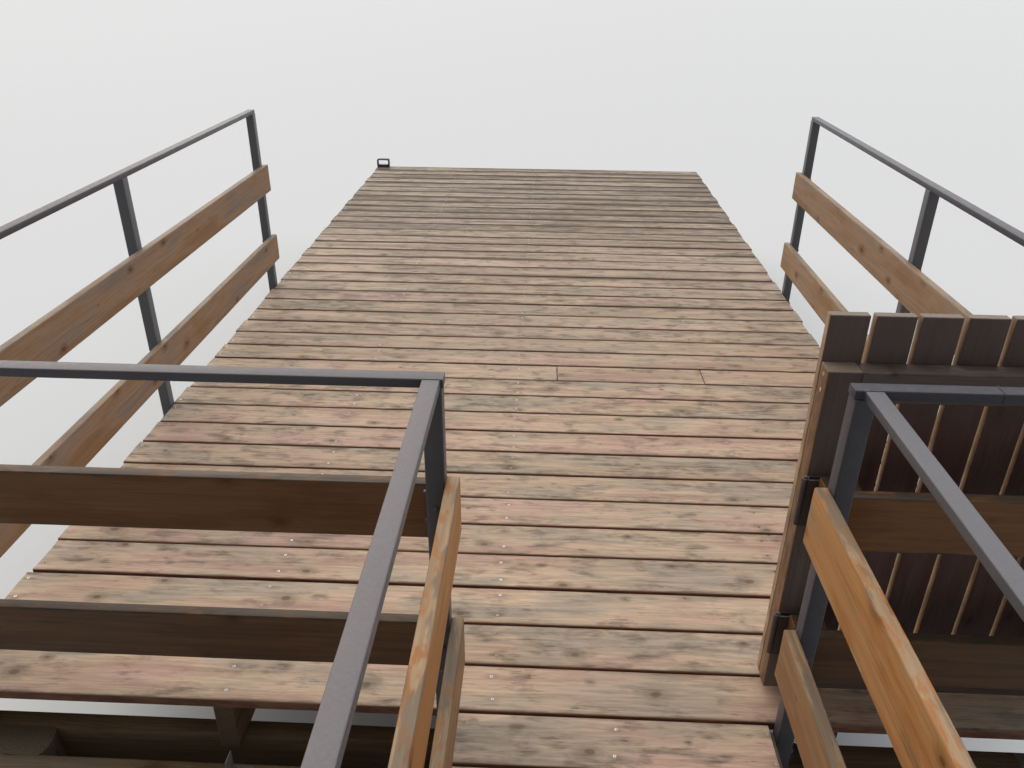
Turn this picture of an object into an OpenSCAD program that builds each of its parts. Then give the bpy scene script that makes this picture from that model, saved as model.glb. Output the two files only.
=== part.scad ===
// Timber jetty: a narrow walkway that steps out to a wide platform on piles, with
// welded steel railings, two rail boards in every railing and a slatted gate leaf
// that stands folded back behind the right-hand railing.
// Millimetres. +Y runs from the shore out over the water, +X to the right, +Z up.
// The origin is the middle of the whole jetty, level with the pile feet.

/* [Deck] */
// Height of the walking surface above the pile feet
deck_h = 700; // [560:10:1200]
// Length of the platform
platform_l = 6000; // [4800:50:6600]
// Width of the platform, the length of its boards
platform_w = 2880; // [2700:10:3400]
// Length of the walkway, from the shore end to the platform
walk_l = 3000; // [2700:50:3600]
// Width of the walkway between its posts
walk_w = 777; // [740:1:810]
// Length of the walkway's boards, which start at its left edge
walk_board_l = 762; // [700:1:770]
// Width of one deck board
board_w = 144; // [120:1:150]
// Thickness of a deck board
board_t = 28; // [20:1:40]
// Least gap between neighbouring deck boards; what is over is shared among the gaps
board_gap = 6; // [4:1:12]
// How much the board ends stand back unevenly from the edge
end_wander = 10; // [0:1:20]
// Row that is laid in three pieces, counted from the walkway
spliced_row = 12; // [3:1:20]
// Left butt joint of the spliced row, from the middle line
splice_left_x = 160; // [100:5:200]
// Right butt joint of the spliced row, from the middle line
splice_right_x = 810; // [740:5:1000]
// Gap at the butt joints
splice_gap = 3; // [2:1:6]

/* [Frame under the deck] */
// Thickness of a joist
joist_t = 48; // [38:1:60]
// Height of a joist
joist_h = 148; // [120:1:170]
// Left inner joist, from the middle line
left_joist_x = -690; // [-900:5:-500]
// Middle inner joist, from the middle line
middle_joist_x = -15; // [-100:5:30]
// Thickness of one of the twin bearers
bearer_t = 48; // [38:1:60]
// Height of a bearer
bearer_h = 198; // [150:1:225]
// Diameter of a pile
pile_d = 180; // [160:2:220]
// Distance from the platform's edge to the outer piles' centres
pile_inset = 190; // [150:5:300]
// Distance from the far edge to the last pile row
far_row_inset = 300; // [150:10:600]
// Distance from the shore end to the first pile row
shore_row_inset = 200; // [120:10:500]
// Distance from the walkway's edge to its piles' centres
walk_pile_inset = 110; // [100:5:160]

/* [Steel railing] */
// Side of the posts' square tube
tube = 40; // [36:1:50]
// Width of the flat tube of the top rails
rail_w = 35; // [25:1:40]
// Height of the flat tube of the top rails
rail_t = 20; // [15:1:30]
// Wall of both tubes
tube_wall = 3; // [2:0.5:5]
// Height of the walkway's and the back railings above the deck
rail_h = 933; // [850:1:1100]
// How far a back rail's end stands past the corner post, into the walkway
rail_end_proud = 3; // [0:1:8]
// How far the right walkway rail sits outside the middle line of its posts
right_rail_shift = 12; // [0:1:15]
// First right side post past the corner, measured from the walkway step
side_post_1 = 1535; // [1200:5:1900]
// End post of the right side railing, measured from the walkway step
side_post_2 = 2970; // [2300:5:3600]
// How much nearer to the step the left side posts stand than the right ones
left_post_lag = 40; // [0:1:100]
// Distance from the shore end to the first walkway post
shore_post_inset = 50; // [30:1:150]

/* [Rail boards] */
// Height of a rail board
rail_board_h = 140; // [100:1:160]
// Thickness of a rail board
rail_board_t = 28; // [20:1:34]
// Lower edge of the platform's lower rail boards above the deck
lower_board_z = 143; // [100:1:200]
// Lower edge of the platform's upper rail boards above the deck
upper_board_z = 528; // [480:1:600]
// How much higher the walkway's rail boards sit
walk_board_lift = 27; // [0:1:40]
// How far the side boards run past their end post
side_board_overhang = 10; // [0:1:150]
// How far a board stops short of the corner post's outer face
board_setback = 10; // [5:1:15]

/* [Gate] */
// How far the hinges' axis stands inside the right corner post
hinge_inset = 15; // [8:1:25]
// Clearance of the shut leaf to the left corner post
gate_gap = 31; // [20:1:45]
// Clearance of the folded leaf's free end to the side boards
folded_gap = 21; // [8:1:60]
// How far the leaf starts beside the hinges' axis
leaf_side_gap = 5; // [2:1:10]
// Number of slats in the gate leaf
slats = 8; // [6:1:10]
// Gap between slats
slat_gap = 10; // [6:1:12]
// Thickness of a slat
slat_t = 22; // [16:1:24]
// Top of the slats above the deck
slat_top = 1011; // [950:1:1100]
// Clearance under the leaf
leaf_clear = 25; // [15:1:60]
// Width of the frame timbers, as seen from the front
frame_w = 70; // [60:1:90]
// Thickness of the frame timbers
frame_t = 50; // [35:1:50]
// Top of the frame above the deck
frame_top = 908; // [820:1:930]

/* [Gate hinges] */
// Height of a hinge
hinge_h = 120; // [80:2:130]
// Width of a hinge plate
hinge_plate_w = 60; // [40:1:64]
// Thickness of a hinge plate
hinge_plate_t = 4; // [3:0.5:5]
// Diameter of the hinge barrel
barrel_d = 16; // [14:1:18]
// Diameter of the hinge pin
hinge_pin_d = 8; // [6:1:9]
// Clearance of the pin all round and of the leaf's barrel above the fixed one
pin_clear = 0.25; // [0.2:0.05:0.5]
// How far the pin's end stands out of the barrel
pin_tip = 4; // [2:1:8]
// Thickness of the timber blocks that carry the hinges
block_t = 45; // [40:1:60]
// Width of the timber blocks
block_w = 75; // [70:1:100]

/* [Mooring loop] */
// Width of the board end that fills the far left corner
corner_block_w = 110; // [80:1:200]
// Gap between the corner block and the last board
corner_gap = 5; // [3:1:10]
// Outer width of the loop
loop_w = 110; // [80:1:140]
// Outer height of the loop, above its plate
loop_h = 60; // [40:1:90]
// Thickness of the loop's bar
loop_bar = 10; // [8:1:14]
// Width of the loop's flat bar and plate along the jetty
loop_depth = 40; // [25:1:60]
// Thickness of the plate under the loop
loop_plate_t = 12; // [6:1:16]

/* [Hidden] */
// Facets of a round piece
round_facets = 48;
// A little more than flush, for cuts that run out of a face
over = 1;

// Board rows, laid at an even pitch over each length
platform_rows = floor(platform_l / (board_w + board_gap));
platform_pitch = platform_l / platform_rows;
walk_rows = floor(walk_l / (board_w + board_gap));
walk_pitch = walk_l / walk_rows;
// Angles that spread the uneven board ends, by row and by side
row_turn = 137;
side_turn = 71;

shore_y = -(platform_l + walk_l) / 2;
step_y = shore_y + walk_l;
far_y = step_y + platform_l;
half_w = platform_w / 2;
leaf_w = walk_w - hinge_inset - leaf_side_gap - gate_gap;
// The platform reaches far enough right of the walkway for the leaf to fold back there
right_wing = leaf_side_gap + leaf_w + folded_gap + rail_board_t - hinge_inset;
walk_right = half_w - right_wing;
walk_left = walk_right - walk_w;
walk_middle = (walk_left + walk_right) / 2;
deck_under = deck_h - board_t;
joist_under = deck_under - joist_h;
bearer_under = joist_under - bearer_h;
rows_per_node = 8;
deck_nodes = ceil(platform_rows / rows_per_node);
walk_nodes = 2;
walk_rows_per_node = ceil(walk_rows / walk_nodes);

// Pile rows: the first one stands under the step and carries both frames
far_row_y = far_y - far_row_inset;
platform_pile_rows = 4;
row_y = [for (i = [0:platform_pile_rows - 1])
    step_y + i * (far_row_y - step_y) / (platform_pile_rows - 1)];
shore_row_y = shore_y + shore_row_inset;
walk_row_y = [shore_row_y, (shore_row_y + step_y) / 2];
platform_pile_x = [-(half_w - pile_inset), 0, half_w - pile_inset];
walk_pile_x = [walk_left + walk_pile_inset, walk_right - walk_pile_inset];

// Railing lines: the posts stand against the outside of the frame
side_x = half_w + tube / 2;
back_y = step_y - tube / 2;
left_corner_x = walk_left - tube / 2;
right_corner_x = walk_right + tube / 2;
rail_top = deck_h + rail_h;
// The side rails lie on the ends of the back rails
side_rail_top = rail_top + rail_t;
shore_post_y = shore_y + shore_post_inset;
walk_post_y = [shore_post_y, (shore_post_y + back_y) / 2, back_y];
side_corner_post_y = step_y + board_gap / 2 + tube / 2;
rail_board_zs = [deck_h + lower_board_z, deck_h + upper_board_z];

// Clearance of a barrel to the plates and timbers it turns past
barrel_clear = 1;
// Gate: the hinge blocks sit on the railing's boards, the leaf in front of them
block_far_y = step_y + rail_board_t + block_t;
hinge_y = block_far_y + barrel_clear + barrel_d / 2;
hinge_x = walk_right - hinge_inset;
plate_x = hinge_x + barrel_d / 4;
leaf_near_y = hinge_y + barrel_d / 2 + barrel_clear;
leaf_x = hinge_x + leaf_side_gap;
slat_w = (leaf_w - (slats - 1) * slat_gap) / slats;
slat_pitch = slat_w + slat_gap;
slat_y = leaf_near_y + frame_t;
leaf_z = deck_h + leaf_clear;
hinge_zs = [for (z = rail_board_zs) z + (rail_board_h - hinge_h) / 2];
knuckle_h = hinge_h / 2;
block_x = walk_right + board_setback;

loop_x = -half_w + corner_block_w / 2;
last_row_y = far_y - (platform_pitch + board_w) / 2;

// One pile, round, with a shoulder cut on both sides for the twin bearers
module pile() {
    tenon = pile_d - 2 * bearer_t;
    difference() {
        cylinder(d = pile_d, h = joist_under, $fn = round_facets);
        for (s = [-1, 1])
            translate([-pile_d / 2 - over, s > 0 ? tenon / 2 : -tenon / 2 - pile_d, bearer_under])
                cube([pile_d + 2 * over, pile_d, bearer_h + over]);
    }
}

module pile_row(xs, y) {
    color("#6d5b46")
        for (x = xs)
            translate([x, y, 0]) pile();
}

// Twin bearers from x0 to x1, one each side of the piles' tenons
module twin_bearers(x0, x1, y) {
    color("#7a664e")
        for (dy = [-pile_d / 2, pile_d / 2 - bearer_t])
            translate([x0, y + dy, bearer_under])
                cube([x1 - x0, bearer_t, bearer_h]);
}

// A joist centred on x, from y0 to y1
module joist(x, y0, y1) {
    color("#8a7355")
        translate([x - joist_t / 2, y0, joist_under])
            cube([joist_t, y1 - y0, joist_h]);
}

module walkway_piles() {
    for (y = walk_row_y)
        pile_row(walk_pile_x, y);
}

module walkway_bearers() {
    for (y = walk_row_y)
        twin_bearers(walk_left, walk_right, y);
}

module walkway_joists() {
    for (x = [walk_left + joist_t / 2, walk_middle, walk_right - joist_t / 2])
        joist(x, shore_y + board_gap / 2, step_y - board_gap / 2);
}

module platform_joists(xs) {
    for (x = xs)
        joist(x, step_y + board_gap / 2, far_y - board_gap / 2);
}

module edge_joists() {
    platform_joists([-half_w + joist_t / 2, half_w - joist_t / 2]);
}

module inner_joists() {
    platform_joists([left_joist_x, middle_joist_x, splice_left_x, splice_right_x]);
}

// How far the end of row i stands back from the edge, different on each side
function stand_back(i, side) = end_wander * (1 + sin(i * row_turn + side * side_turn)) / 2;

module board(x0, x1, y) {
    color("#b59c82")
        translate([x0, y, deck_under])
            cube([x1 - x0, board_w, board_t]);
}

// Row i of the platform, counted from the step
module platform_row(i) {
    y = step_y + i * platform_pitch + (platform_pitch - board_w) / 2;
    x0 = -half_w + stand_back(i, 0);
    x1 = half_w - stand_back(i, 1);
    if (i == spliced_row) {
        board(x0, splice_left_x - splice_gap / 2, y);
        board(splice_left_x + splice_gap / 2, splice_right_x - splice_gap / 2, y);
        board(splice_right_x + splice_gap / 2, x1, y);
    } else if (i == platform_rows - 1) {
        board(-half_w + corner_block_w + corner_gap, x1, y);
    } else {
        board(x0, x1, y);
    }
}

module deck_boards(part) {
    first = (part - 1) * rows_per_node;
    for (i = [first:min(first + rows_per_node, platform_rows) - 1])
        platform_row(i);
}

// Rows of the walkway, counted from the step towards the shore
module walkway_boards(part) {
    first = (part - 1) * walk_rows_per_node;
    for (i = [first:min(first + walk_rows_per_node, walk_rows) - 1])
        board(walk_left + stand_back(i, 2) / 2, walk_left + walk_board_l - stand_back(i, 3) / 2,
            step_y - i * walk_pitch - (walk_pitch + board_w) / 2);
}

module corner_block() {
    board(-half_w, -half_w + corner_block_w, last_row_y);
}

// Rectangular loop of flat bar, welded on a plate that is bolted to the corner block
module mooring_loop() {
    color("#3b3a3d")
        translate([loop_x - loop_w / 2, last_row_y + board_w - loop_depth, deck_h])
            union() {
                cube([loop_w, loop_depth, loop_plate_t]);
                translate([0, 0, loop_plate_t])
                    difference() {
                        cube([loop_w, loop_depth, loop_h]);
                        translate([loop_bar, -over, -over])
                            cube([loop_w - 2 * loop_bar, loop_depth + 2 * over, loop_h - loop_bar + over]);
                    }
            }
}

// Post of square tube from the joists' underside up to the rail above it, open below
module post(x, y, rail_under) {
    h = rail_under - joist_under;
    color("#55525a")
        translate([x - tube / 2, y - tube / 2, joist_under])
            difference() {
                cube([tube, tube, h]);
                translate([tube_wall, tube_wall, -over])
                    cube([tube - 2 * tube_wall, tube - 2 * tube_wall, h - tube_wall + over]);
            }
}

// Rail of flat tube along +Y, its top face at z = 0. A plate closes it at the origin, and
// its other end is open.
module rail_run(length) {
    color("#5d5a63")
        translate([-rail_w / 2, 0, -rail_t])
            difference() {
                cube([rail_w, length, rail_t]);
                translate([tube_wall, tube_wall, tube_wall])
                    cube([rail_w - 2 * tube_wall, length, rail_t - 2 * tube_wall]);
            }
}

// The right-hand railings are the left-hand ones seen in a mirror
module on_side(side) {
    mirror([side == "right" ? 1 : 0, 0, 0]) children();
}

// Middle of the end post of a side railing
function end_post_y(side) = step_y + side_post_2 - (side == "left" ? left_post_lag : 0);

// Far face of the end post, where the side rail ends
function side_end_y(side) = end_post_y(side) + tube / 2;

module side_posts(side) {
    first_post_y = end_post_y(side) - (side_post_2 - side_post_1);
    on_side(side)
        for (y = [side_corner_post_y, first_post_y, end_post_y(side)])
            post(-side_x, y, side_rail_top - rail_t);
}

module side_top_rail(side) {
    on_side(side)
        translate([-side_x, side_end_y(side), side_rail_top])
            rotate([0, 0, 180])
                rail_run(side_end_y(side) - back_y + rail_w / 2);
}

// Both rail boards of one railing, filling x0 to x1 and y0 to y1
module rail_boards(x0, x1, y0, y1, lift) {
    color("#b9824a")
        for (z = rail_board_zs)
            translate([x0, y0, z + lift])
                cube([x1 - x0, y1 - y0, rail_board_h]);
}

module side_boards(side) {
    on_side(side)
        rail_boards(-half_w, -half_w + rail_board_t, step_y + rail_board_t + board_gap / 2,
            side_end_y(side) + side_board_overhang, 0);
}

// Rail along the platform's near edge, from the walkway corner out to the side railing
module back_top_rail(side) {
    start_x = (side == "right" ? -walk_right : walk_left) + rail_end_proud;
    on_side(side)
        translate([start_x, back_y, rail_top])
            rotate([0, 0, 90])
                rail_run(start_x + side_x + rail_w / 2);
}

module back_boards(side) {
    walk_edge = side == "right" ? -walk_right : walk_left;
    on_side(side)
        rail_boards(-half_w, walk_edge - board_setback, step_y, step_y + rail_board_t, 0);
}

module walkway_posts(side) {
    for (y = walk_post_y)
        post(side == "right" ? right_corner_x : left_corner_x, y, rail_top - rail_t);
}

// Rail along the walkway, which butts against the back rail
module walkway_top_rail(side) {
    start_y = shore_post_y - tube / 2;
    translate([side == "right" ? right_corner_x + right_rail_shift : left_corner_x, start_y, rail_top])
        rail_run(back_y - rail_w / 2 - start_y);
}

module walkway_rail_boards(side) {
    inner = side == "right" ? walk_right - rail_board_t : walk_left;
    rail_boards(inner, inner + rail_board_t, shore_post_y - tube / 2, step_y - board_gap, walk_board_lift);
}

// Timber blocks on the far face of the right back boards
module hinge_blocks() {
    color("#9c6f40")
        for (z = rail_board_zs)
            translate([block_x, step_y + rail_board_t, z])
                cube([block_w, block_t, rail_board_h]);
}

// Fixed half of a lift-off hinge: plate on the block, lower knuckle and pin
module fixed_hinge(z) {
    difference() {
        translate([plate_x, block_far_y, z])
            cube([hinge_plate_w, hinge_plate_t, hinge_h]);
        translate([hinge_x, hinge_y, z + knuckle_h])
            cylinder(d = barrel_d + 2 * barrel_clear, h = knuckle_h + over, $fn = round_facets);
    }
    translate([hinge_x, hinge_y, z])
        cylinder(d = barrel_d, h = knuckle_h, $fn = round_facets);
    translate([hinge_x, hinge_y, z + knuckle_h - over])
        cylinder(d = hinge_pin_d, h = knuckle_h + pin_clear + pin_tip + over, $fn = round_facets);
}

module fixed_hinges() {
    color("#4a474b")
        for (z = hinge_zs)
            fixed_hinge(z);
}

// Leaf's half of a lift-off hinge: plate on the stile and upper knuckle
module leaf_hinge(z) {
    difference() {
        union() {
            difference() {
                translate([plate_x, leaf_near_y - hinge_plate_t, z])
                    cube([hinge_plate_w, hinge_plate_t, hinge_h]);
                translate([hinge_x, hinge_y, z - over])
                    cylinder(d = barrel_d + 2 * barrel_clear,
                        h = knuckle_h + pin_clear + over, $fn = round_facets);
            }
            translate([hinge_x, hinge_y, z + knuckle_h + pin_clear])
                cylinder(d = barrel_d, h = knuckle_h, $fn = round_facets);
        }
        translate([hinge_x, hinge_y, z])
            cylinder(d = hinge_pin_d + 2 * pin_clear, h = hinge_h + 2 * over, $fn = round_facets);
    }
}

module gate_hinges() {
    color("#4a474b")
        for (z = hinge_zs)
            leaf_hinge(z);
}

// Upright timbers of the leaf's frame, the full height of the frame
module gate_stiles() {
    color("#6b4629")
        for (x = [leaf_x, leaf_x + leaf_w - frame_w])
            translate([x, leaf_near_y, leaf_z])
                cube([frame_w, frame_t, deck_h + frame_top - leaf_z]);
}

// Top and bottom timbers of the frame, between the stiles
module gate_rails() {
    color("#5b3d26")
        for (z = [leaf_z, deck_h + frame_top - frame_w])
            translate([leaf_x + frame_w, leaf_near_y, z])
                cube([leaf_w - 2 * frame_w, frame_t, frame_w]);
}

module gate_slats() {
    color("#4f3a29")
        for (i = [0:slats - 1])
            translate([leaf_x + i * slat_pitch, slat_y, leaf_z])
                cube([slat_w, slat_t, deck_h + slat_top - leaf_z]);
}

walkway_piles();
walkway_bearers();
walkway_joists();
for (i = [1:platform_pile_rows]) {
    pile_row(platform_pile_x, row_y[i - 1]);
    twin_bearers(-half_w, half_w, row_y[i - 1]);
}
edge_joists();
inner_joists();
for (i = [1:deck_nodes])
    deck_boards(i);
for (i = [1:walk_nodes])
    walkway_boards(i);
corner_block();
mooring_loop();
for (side = ["left", "right"]) {
    side_posts(side);
    side_top_rail(side);
    side_boards(side);
    back_top_rail(side);
    back_boards(side);
    walkway_posts(side);
    walkway_top_rail(side);
    walkway_rail_boards(side);
}
hinge_blocks();
fixed_hinges();
gate_stiles();
gate_rails();
gate_slats();
gate_hinges();
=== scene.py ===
import math
import random

import bmesh
import bpy
import numpy as np
from mathutils import Matrix, Vector, noise


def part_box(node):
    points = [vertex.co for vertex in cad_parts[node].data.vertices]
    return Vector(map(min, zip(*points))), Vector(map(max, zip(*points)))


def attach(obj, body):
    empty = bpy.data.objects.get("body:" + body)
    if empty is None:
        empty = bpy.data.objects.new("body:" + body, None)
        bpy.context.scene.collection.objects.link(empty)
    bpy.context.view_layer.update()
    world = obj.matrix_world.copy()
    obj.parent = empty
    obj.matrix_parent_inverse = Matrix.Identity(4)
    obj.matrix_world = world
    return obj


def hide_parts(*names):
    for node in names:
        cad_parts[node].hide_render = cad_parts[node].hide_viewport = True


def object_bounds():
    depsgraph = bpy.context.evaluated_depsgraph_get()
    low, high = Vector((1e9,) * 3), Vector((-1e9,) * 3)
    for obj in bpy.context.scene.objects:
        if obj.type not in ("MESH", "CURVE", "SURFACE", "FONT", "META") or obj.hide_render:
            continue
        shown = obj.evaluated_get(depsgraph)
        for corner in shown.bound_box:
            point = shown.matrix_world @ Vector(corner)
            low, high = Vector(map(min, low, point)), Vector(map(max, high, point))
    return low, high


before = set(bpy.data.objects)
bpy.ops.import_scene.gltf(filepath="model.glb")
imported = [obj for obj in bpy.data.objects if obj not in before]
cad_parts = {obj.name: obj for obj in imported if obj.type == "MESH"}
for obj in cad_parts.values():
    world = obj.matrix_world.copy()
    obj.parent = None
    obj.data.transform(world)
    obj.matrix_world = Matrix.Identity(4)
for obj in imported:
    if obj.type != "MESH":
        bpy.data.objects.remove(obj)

cad_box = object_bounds()
X, Y, Z = 0, 1, 2
chance = random.Random(1613)

# Piles. Round softwood poles, peeled and driven, their heads notched on two sides for
# the twin bearers. The wood has gone dark, with drying checks along it.


def activate(piece):
    """Makes piece the one selected and active object."""
    bpy.ops.object.select_all(action="DESELECT")
    piece.select_set(True)
    bpy.context.view_layer.objects.active = piece
    return piece


def keep_place(name):
    """Names the new active object and puts its place into its mesh."""
    bpy.ops.object.transform_apply(location=True, rotation=True, scale=True)
    bpy.context.object.name = name
    return bpy.context.object


def corners(node):
    """The lowest and highest corner of a CAD node."""
    low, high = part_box(node)
    return Vector(low), Vector(high)


def out_by(axis, distance):
    """The point on an axis that lies this far from the origin."""
    return Vector([distance if i == axis else 0 for i in range(3)])


def box(name, low, high):
    """A box from one corner to the other."""
    low, high = Vector(low), Vector(high)
    bpy.ops.object.select_all(action="DESELECT")
    bpy.ops.mesh.primitive_cube_add(size=1, location=(low + high) / 2, scale=high - low)
    return keep_place(name)


def rod(name, foot, radius, height, sides, axis=Z):
    """A cylinder that starts at foot and runs along axis."""
    turn = {X: (0, math.pi / 2, 0), Y: (-math.pi / 2, 0, 0), Z: (0, 0, 0)}[axis]
    middle = Vector(foot) + out_by(axis, height / 2)
    bpy.ops.object.select_all(action="DESELECT")
    bpy.ops.mesh.primitive_cylinder_add(
        vertices=sides, radius=radius, depth=abs(height), location=middle, rotation=turn)
    return keep_place(name)


def pick(piece, kind, test):
    """Goes into edit mode with just the edges or faces that pass the test selected."""
    activate(piece)
    bpy.ops.object.mode_set(mode="EDIT")
    bpy.ops.mesh.select_mode(type={"edges": "EDGE", "faces": "FACE"}[kind])
    bpy.ops.mesh.select_all(action="DESELECT")
    shape = bmesh.from_edit_mesh(piece.data)
    for part in getattr(shape, kind):
        part.select_set(bool(test(part)))
    bmesh.update_edit_mesh(piece.data)


def leave():
    """Goes back to object mode."""
    bpy.ops.object.mode_set(mode="OBJECT")


def round_edges(piece, test, offset, segments=1):
    """Bevels the edges that pass the test."""
    pick(piece, "edges", test)
    bpy.ops.mesh.bevel(offset=offset, segments=segments, affect="EDGES")
    leave()


def slice_at(piece, axis, places):
    """Cuts an edge loop through the whole piece at each place along the axis."""
    activate(piece)
    bpy.ops.object.mode_set(mode="EDIT")
    for place in places:
        bpy.ops.mesh.select_all(action="SELECT")
        bpy.ops.mesh.bisect(plane_co=out_by(axis, place), plane_no=out_by(axis, 1))
    leave()


def use_modifier(piece, kind, **settings):
    """Adds a modifier with these settings and applies it."""
    activate(piece)
    modifier = piece.modifiers.new(kind.title(), kind)
    for key, value in settings.items():
        setattr(modifier, key, value)
    bpy.ops.object.modifier_apply(modifier=modifier.name)


def copy_to(piece, move, name):
    """A copy with its own mesh, moved."""
    twin = bpy.data.objects.new(name, piece.data.copy())
    bpy.context.collection.objects.link(twin)
    twin.data.transform(Matrix.Translation(move))
    return twin


def join(name, pieces):
    """Joins the pieces into one object of that name."""
    activate(pieces[0])
    for piece in pieces:
        piece.select_set(True)
    bpy.ops.object.join()
    bpy.context.object.name = name
    bpy.context.object.data.name = name
    return bpy.context.object


def points_of(piece):
    """The places of the piece's points, one row for each."""
    places = np.empty(len(piece.data.vertices) * 3, np.float32)
    piece.data.vertices.foreach_get("co", places)
    return places.reshape(-1, 3)


def write_vectors(piece, name, rows):
    """Stores three numbers for every point of the piece, for its material to read."""
    layer = piece.data.attributes.new(name, "FLOAT_VECTOR", "POINT")
    layer.data.foreach_set("vector", np.ascontiguousarray(rows, np.float32).ravel())


def tint(code):
    """A colour written as on a paint chart (sRGB hex), as the linear numbers Blender uses."""
    parts = [int(code[i:i + 2], 16) / 255 for i in (0, 2, 4)]
    return [p / 12.92 if p <= 0.04045 else ((p + 0.055) / 1.055) ** 2.4 for p in parts] + [1]


class Finish:
    """A procedural material that is built up node by node."""

    def __init__(self, name):
        self.material = bpy.data.materials.new(name)
        self.material.use_nodes = True
        self.tree = self.material.node_tree
        self.shader = self.tree.nodes["Principled BSDF"]

    def node(self, kind, inputs, out=0, **settings):
        """Makes a node, sets or links its inputs, and gives one of its outputs."""
        made = self.tree.nodes.new("ShaderNode" + kind)
        for key, value in settings.items():
            setattr(made, key, value)
        for key, value in inputs.items():
            self.put(made.inputs[key], value)
        return made.outputs[out]

    def put(self, socket, value):
        if isinstance(value, bpy.types.NodeSocket):
            self.tree.links.new(value, socket)
        else:
            socket.default_value = value

    def surface(self, **inputs):
        """Sets or links the shader's own sockets."""
        for key, value in inputs.items():
            socket = key.replace("_", " ").title().replace("Ior", "IOR")
            self.put(self.shader.inputs[socket], value)

    def stored(self, name, out="Vector"):
        """The numbers that were written on the piece's points."""
        return self.node("Attribute", {}, out=out, attribute_name=name)

    def places(self):
        """Where a point lies in the shared frame."""
        return self.node("TexCoord", {}, out="Object")

    def facing(self, axis):
        """How far the surface faces along the axis, from -1 to 1."""
        return self.split(self.node("TexCoord", {}, out="Normal"))[axis]

    def split(self, vector):
        separate = self.node("SeparateXYZ", {0: vector}).node
        return [separate.outputs[i] for i in range(3)]

    def spread(self, vector, scale):
        """The vector, multiplied axis by axis."""
        return self.node("VectorMath", {0: vector, 1: scale}, operation="MULTIPLY")

    def math(self, operation, *values):
        return self.node("Math", dict(enumerate(values)), operation=operation)

    def times(self, a, b):
        return self.math("MULTIPLY", a, b)

    def plus(self, a, b):
        return self.math("ADD", a, b)

    def minus(self, a, b):
        return self.math("SUBTRACT", a, b)

    def absolute(self, value):
        return self.math("ABSOLUTE", value)

    def times_plus(self, value, factor, base):
        return self.math("MULTIPLY_ADD", value, factor, base)

    def vary(self, base, source, amount):
        """The base value, moved up and down by up to half the amount, as the source goes."""
        return self.times_plus(self.minus(source, 0.5), amount, base)

    def noise(self, vector, scale, detail=2.0, roughness=0.5, distortion=0.0):
        return self.node("TexNoise", {
            "Vector": self.spread(vector, scale), "Scale": 1.0, "Detail": detail,
            "Roughness": roughness, "Distortion": distortion})

    def fade(self, value, start, end, low=0.0, high=1.0):
        """Goes smoothly from low at start to high at end."""
        return self.node("MapRange", {
            "Value": value, "From Min": start, "From Max": end, "To Min": low, "To Max": high},
            interpolation_type="SMOOTHSTEP")

    def ramp(self, value, stops):
        """Looks the value up in a row of (place, grey level) stops."""
        output = self.node("ValToRGB", {"Fac": value})
        elements = output.node.color_ramp.elements
        while len(elements) < len(stops):
            elements.new(0.5)
        for element, (place, level) in zip(elements, stops):
            element.position = place
            element.color = (level, level, level, 1)
        return output

    def shade(self, colour, factor):
        """The colour, made lighter or darker by the factor."""
        linked = isinstance(colour, bpy.types.NodeSocket)
        return self.node("VectorMath", {0: colour if linked else colour[:3], "Scale": factor},
                         operation="SCALE")

    def mix(self, share, a, b):
        return self.node("Mix", {0: share, 6: a, 7: b}, out=2, data_type="RGBA")

    def bump(self, height, depth):
        """Bump of that depth in metres."""
        return self.node("Bump", {"Height": height, "Distance": depth, "Strength": 1.0})


def knots_in(f, grain, mottle, share, grid):
    """Knots, one candidate in each cell of a long flat grid, round in real size: their dark
    cores and the halos round them."""
    cell = f.node("TexVoronoi", {"Vector": f.spread(grain, (*grid, 0)), "Scale": 1.0},
                  voronoi_dimensions="2D").node
    centre = f.spread(cell.outputs["Position"], (1 / grid[0], 1 / grid[1], 0))
    offset = f.node("VectorMath", {0: f.spread(grain, (1, 1, 0)), 1: centre},
                    operation="SUBTRACT")
    reach = f.node("VectorMath", {0: f.spread(offset, (0.6, 1, 0))}, out="Value",
                   operation="LENGTH")
    kind, size, _ = f.split(cell.outputs["Color"])
    is_knot = f.math("LESS_THAN", kind, share)
    inside = f.math("DIVIDE", f.vary(reach, mottle, 0.016), f.times_plus(size, 0.009, 0.002))
    core = f.times(f.fade(inside, 1.05, 0.5), is_knot)
    halo = f.times(f.fade(inside, 3.6, 0.8), is_knot)
    return core, halo


def year_rings(f, grain, tone, halo, gap):
    """Year rings round a heart below or beside the board, bent round the knots."""
    across, through = f.split(grain)[1:]
    tone_x, tone_y, _ = f.split(tone)
    sway = f.noise(grain, (1.1, 4, 4), detail=2)
    ripple = f.noise(grain, (5, 26, 26), detail=2)
    side = f.vary(f.vary(across, tone_x, 0.11), sway, 0.075)
    depth = f.plus(f.times_plus(tone_y, 0.07, 0.012), f.absolute(f.plus(through, 0.02)))
    radius = f.math("SQRT", f.plus(f.times(side, side), f.times(depth, depth)))
    radius = f.times_plus(halo, 0.012, f.times_plus(ripple, 0.010, radius))
    phase = f.math("FRACT", f.math("DIVIDE", radius, gap))
    return f.ramp(phase, [(0.0, 0.2), (0.25, 0.0), (0.6, 0.35), (0.86, 1.0), (1.0, 0.2)])


def tannin_marks(f, across, joist_lines, screw_aside):
    """Dark marks along the grain at the screws, over each joist."""
    reach, beyond = 0.03, 0.2
    low, high = joist_lines[0] - beyond, joist_lines[-1] + beyond
    stops = []
    for place in joist_lines:
        for step, level in ((-reach, 0), (0, 1), (reach, 0)):
            stops.append(((place + step - low) / (high - low), level))
    run = f.split(f.places())[X]
    over_joist = f.ramp(f.math("DIVIDE", f.minus(run, low), high - low), stops)
    beside = f.absolute(f.minus(f.absolute(across), screw_aside))
    return f.times(f.fade(beside, 0.011, 0.003), over_joist)


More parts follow.
